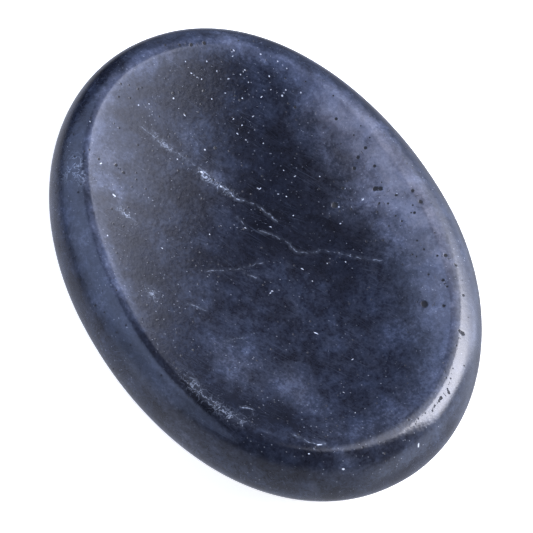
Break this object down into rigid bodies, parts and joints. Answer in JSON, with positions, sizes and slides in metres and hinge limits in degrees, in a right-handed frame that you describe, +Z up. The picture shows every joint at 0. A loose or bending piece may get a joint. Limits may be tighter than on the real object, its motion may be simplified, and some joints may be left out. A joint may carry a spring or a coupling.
{
  "type": "iolite worry stone",
  "caption": "Oval polished stone for the palm: flat underneath, rounded round its side, with a shallow thumb hollow ground into its top.",
  "frame": {"origin": "middle of the stone's bounding box at the level of its flat base", "axes": "+X along the oval's length, +Y along its width, +Z up out of the thumb hollow"},
  "size_m": [0.045, 0.033, 0.008],
  "materials": {
    "iolite": "gloss"
  },
  "bodies": {
    "root": {"worry_stone": "iolite"}
  },
  "joints": []
}
